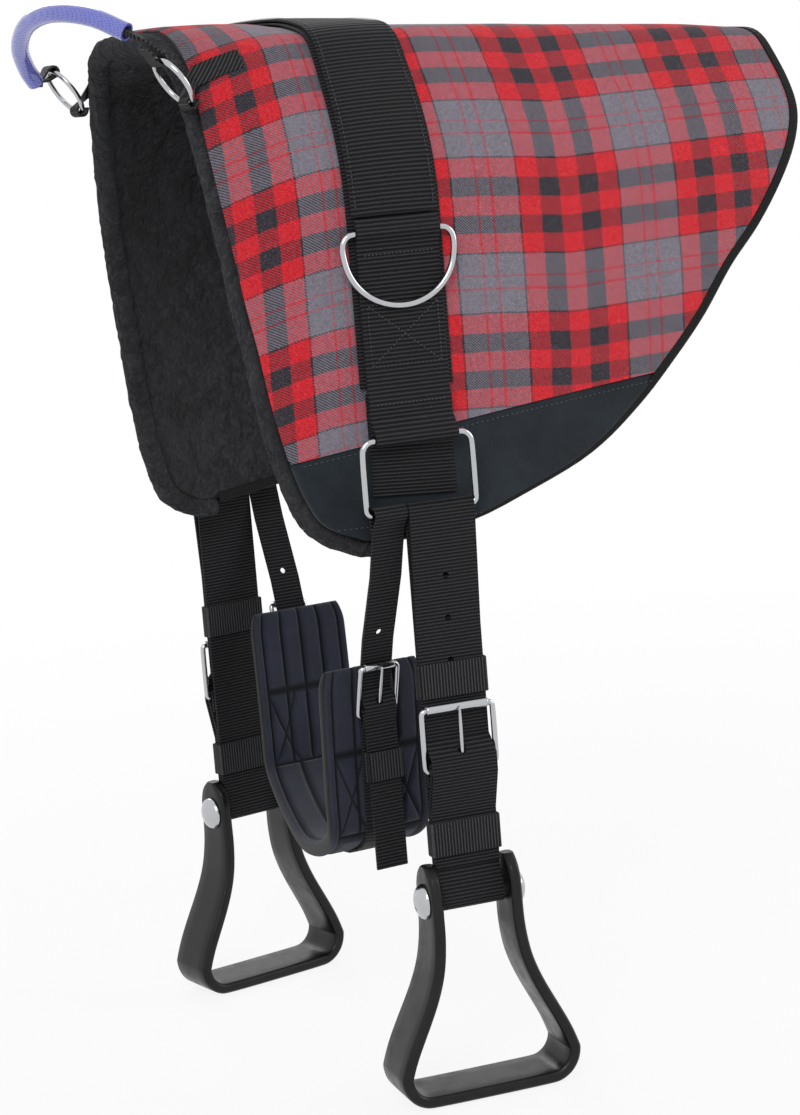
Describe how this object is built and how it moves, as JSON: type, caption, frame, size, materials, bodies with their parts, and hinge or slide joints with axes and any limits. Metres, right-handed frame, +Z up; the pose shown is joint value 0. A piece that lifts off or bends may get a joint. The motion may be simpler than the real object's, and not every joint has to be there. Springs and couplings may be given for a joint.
{
  "type": "bareback pad",
  "caption": "Padded riding pad for a horse's back with a webbing surcingle, front handle, buckled girth and hanging stirrups.",
  "frame": {"origin": "on the lining at the horse's spine, under the middle of the surcingle", "axes": "+X towards the horse's tail, +Y towards the horse's right side, +Z up"},
  "size_m": [0.5651, 0.4223, 0.8247],
  "materials": {
    "plaid_cloth": "brushed twill in a red, black and grey plaid",
    "dark_suede": "napped, dark teal-black",
    "grey_foam": "open-cell foam",
    "black_fleece": "deep curly pile",
    "black_tape": "plain woven tape",
    "black_webbing": "ribbed nylon webbing",
    "nickel_plate": "bright nickel plate",
    "black_nylon": "semi-gloss moulded nylon",
    "blue_tubing": "clear tubing over blue webbing",
    "navy_quilting": "quilted brushed cloth"
  },
  "bodies": {
    "pad": {"plaid_cover": "plaid_cloth", "suede_panel_left": "dark_suede", "suede_panel_right": "dark_suede", "foam_core": "grey_foam", "fleece_lining": "black_fleece", "fleece_roll": "black_fleece", "rear_binding": "black_tape", "surcingle_backing": "black_webbing", "surcingle_web": "black_webbing", "side_web_left": "black_webbing", "side_web_right": "black_webbing", "dee_patch_left": "black_webbing", "dee_patch_right": "black_webbing", "handle_tab_left": "black_webbing", "handle_tab_right": "black_webbing"},
    "upper_dee_left": {"upper_dee_left": "nickel_plate"},
    "lower_dee_left": {"lower_dee_left": "nickel_plate"},
    "strap_left": {"stirrup_strap_left": "black_webbing", "strap_buckle_frame_left": "nickel_plate"},
    "strap_roller_left": {"strap_buckle_roller_left": "nickel_plate"},
    "strap_tongue_left": {"strap_buckle_tongue_left": "nickel_plate"},
    "upper_keeper_left": {"strap_keeper_upper_left": "black_webbing"},
    "lower_keeper_left": {"strap_keeper_lower_left": "black_webbing"},
    "stirrup_left": {"stirrup_left": "black_nylon", "stirrup_bolt_left": "nickel_plate", "stirrup_nut_left": "nickel_plate", "stirrup_sleeve_left": "nickel_plate"},
    "billet_left": {"girth_billet_left": "black_webbing", "girth_buckle_frame_left": "nickel_plate"},
    "girth_roller_left": {"girth_buckle_roller_left": "nickel_plate"},
    "girth_tongue_left": {"girth_buckle_tongue_left": "nickel_plate"},
    "girth_keeper_left": {"girth_keeper_left": "black_webbing"},
    "handle_ring_left": {"handle_ring_left": "nickel_plate"},
    "upper_dee_right": {"upper_dee_right": "nickel_plate"},
    "lower_dee_right": {"lower_dee_right": "nickel_plate"},
    "strap_right": {"stirrup_strap_right": "black_webbing", "strap_buckle_frame_right": "nickel_plate"},
    "strap_roller_right": {"strap_buckle_roller_right": "nickel_plate"},
    "strap_tongue_right": {"strap_buckle_tongue_right": "nickel_plate"},
    "upper_keeper_right": {"strap_keeper_upper_right": "black_webbing"},
    "lower_keeper_right": {"strap_keeper_lower_right": "black_webbing"},
    "stirrup_right": {"stirrup_right": "black_nylon", "stirrup_bolt_right": "nickel_plate", "stirrup_nut_right": "nickel_plate", "stirrup_sleeve_right": "nickel_plate"},
    "billet_right": {"girth_billet_right": "black_webbing", "girth_buckle_frame_right": "nickel_plate"},
    "girth_roller_right": {"girth_buckle_roller_right": "nickel_plate"},
    "girth_tongue_right": {"girth_buckle_tongue_right": "nickel_plate"},
    "girth_keeper_right": {"girth_keeper_right": "black_webbing"},
    "handle_ring_right": {"handle_ring_right": "nickel_plate"},
    "girth": {"girth_pad": "navy_quilting", "girth_web": "black_webbing"},
    "handle": {"handle_web": "black_webbing", "handle_grip": "blue_tubing"}
  },
  "joints": [
    {"name": "upper_dee_left_swing", "type": "hinge", "parent": "pad", "child": "upper_dee_left", "pos_m": [-0.00073, -0.17147, -0.1284], "axis": [-0.9902, 0.1395, 0], "range_deg": [0, 150]},
    {"name": "lower_dee_left_swing", "type": "hinge", "parent": "pad", "child": "lower_dee_left", "pos_m": [-0.00165, -0.17801, -0.2764], "axis": [-0.9902, 0.1395, 0], "range_deg": [-1, 1]},
    {"name": "strap_left_swing", "type": "hinge", "parent": "lower_dee_left", "child": "strap_left", "pos_m": [0.01172, -0.17989, -0.3304], "axis": [-0.9902, 0.1395, 0], "range_deg": [0, 60]},
    {"name": "strap_roller_left_spin", "type": "hinge", "parent": "strap_left", "child": "strap_roller_left", "pos_m": [0.01122, -0.18346, -0.4784], "axis": [-0.9902, 0.1395, 0], "continuous": true},
    {"name": "strap_tongue_left_lift", "type": "hinge", "parent": "strap_left", "child": "strap_tongue_left", "pos_m": [0.01122, -0.18346, -0.5244], "axis": [0.9902, -0.1395, 0], "range_deg": [0, 2]},
    {"name": "upper_keeper_left_slide", "type": "slide", "parent": "strap_left", "child": "upper_keeper_left", "axis": [0, 0, 1], "range_m": [-0.003, 0.02]},
    {"name": "lower_keeper_left_slide", "type": "slide", "parent": "strap_left", "child": "lower_keeper_left", "axis": [0, 0, 1], "range_m": [-0.003, 0.003]},
    {"name": "stirrup_left_swing", "type": "hinge", "parent": "strap_left", "child": "stirrup_left", "pos_m": [0.01172, -0.17989, -0.6224], "axis": [-0.9902, 0.1395, 0], "range_deg": [-25, 40]},
    {"name": "billet_left_swing", "type": "hinge", "parent": "lower_dee_left", "child": "billet_left", "pos_m": [-0.02759, -0.17435, -0.3304], "axis": [1, 0, 0], "range_deg": [-3.2, 3.2]},
    {"name": "girth_roller_left_spin", "type": "hinge", "parent": "billet_left", "child": "girth_roller_left", "pos_m": [-0.02759, -0.13966, -0.44803], "axis": [1, 0, 0], "continuous": true},
    {"name": "girth_tongue_left_lift", "type": "hinge", "parent": "billet_left", "child": "girth_tongue_left", "pos_m": [-0.02759, -0.12835, -0.4864], "axis": [1, 0, 0], "range_deg": [0, 5]},
    {"name": "girth_keeper_left_slide", "type": "slide", "parent": "billet_left", "child": "girth_keeper_left", "axis": [0, 0, 1], "range_m": [-0.04, 0.004]},
    {"name": "handle_ring_left_tilt", "type": "hinge", "parent": "pad", "child": "handle_ring_left", "pos_m": [-0.124, -0.105, -0.0274], "axis": [0, 1, 0], "range_deg": [-45, 6]},
    {"name": "upper_dee_right_swing", "type": "hinge", "parent": "pad", "child": "upper_dee_right", "pos_m": [0.0114, 0.17305, -0.1284], "axis": [0.9934, 0.1146, 0], "range_deg": [0, 150]},
    {"name": "lower_dee_right_swing", "type": "hinge", "parent": "pad", "child": "lower_dee_right", "pos_m": [0.01065, 0.1796, -0.2764], "axis": [0.9934, 0.1146, 0], "range_deg": [-1, 1]},
    {"name": "strap_right_swing", "type": "hinge", "parent": "lower_dee_right", "child": "strap_right", "pos_m": [-0.00276, 0.17805, -0.3304], "axis": [0.9934, 0.1146, 0], "range_deg": [0, 60]},
    {"name": "strap_roller_right_spin", "type": "hinge", "parent": "strap_right", "child": "strap_roller_right", "pos_m": [-0.00318, 0.18163, -0.4784], "axis": [0.9934, 0.1146, 0], "continuous": true},
    {"name": "strap_tongue_right_lift", "type": "hinge", "parent": "strap_right", "child": "strap_tongue_right", "pos_m": [-0.00318, 0.18163, -0.5244], "axis": [-0.9934, -0.1146, 0], "range_deg": [0, 2]},
    {"name": "upper_keeper_right_slide", "type": "slide", "parent": "strap_right", "child": "upper_keeper_right", "axis": [0, 0, 1], "range_m": [-0.003, 0.02]},
    {"name": "lower_keeper_right_slide", "type": "slide", "parent": "strap_right", "child": "lower_keeper_right", "axis": [0, 0, 1], "range_m": [-0.003, 0.003]},
    {"name": "stirrup_right_swing", "type": "hinge", "parent": "strap_right", "child": "stirrup_right", "pos_m": [-0.00276, 0.17805, -0.6224], "axis": [0.9934, 0.1146, 0], "range_deg": [-25, 40]},
    {"name": "billet_right_swing", "type": "hinge", "parent": "lower_dee_right", "child": "billet_right", "pos_m": [0.03667, 0.18261, -0.3304], "axis": [1, 0, 0], "range_deg": [-3.2, 3.2]},
    {"name": "girth_roller_right_spin", "type": "hinge", "parent": "billet_right", "child": "girth_roller_right", "pos_m": [0.03667, 0.14792, -0.44803], "axis": [1, 0, 0], "continuous": true},
    {"name": "girth_tongue_right_lift", "type": "hinge", "parent": "billet_right", "child": "girth_tongue_right", "pos_m": [0.03667, 0.13661, -0.4864], "axis": [-1, 0, 0], "range_deg": [0, 5]},
    {"name": "girth_keeper_right_slide", "type": "slide", "parent": "billet_right", "child": "girth_keeper_right", "axis": [0, 0, 1], "range_m": [-0.04, 0.004]},
    {"name": "handle_ring_right_tilt", "type": "hinge", "parent": "pad", "child": "handle_ring_right", "pos_m": [-0.124, 0.105, -0.0274], "axis": [0, 1, 0], "range_deg": [-45, 6]},
    {"name": "girth_swing", "type": "hinge", "parent": "billet_right", "child": "girth", "pos_m": [0.03667, 0.13661, -0.4864], "axis": [1, 0, 0], "range_deg": [-5.3, 5.3]},
    {"name": "handle_tilt", "type": "hinge", "parent": "handle_ring_left", "child": "handle", "pos_m": [-0.14431, -0.105, 0.00387], "axis": [0, 1, 0], "range_deg": [-36, 60]}
  ],
  "couplings": [
    {"joint": "billet_left_swing", "follows": "billet_right_swing", "ratio": 1},
    {"joint": "lower_dee_right_swing", "follows": "billet_right_swing", "ratio": 0.2},
    {"joint": "lower_dee_left_swing", "follows": "billet_right_swing", "ratio": -0.2},
    {"joint": "girth_swing", "follows": "billet_right_swing", "ratio": -1.6167},
    {"joint": "handle_ring_right_tilt", "follows": "handle_ring_left_tilt", "ratio": 1}
  ]
}
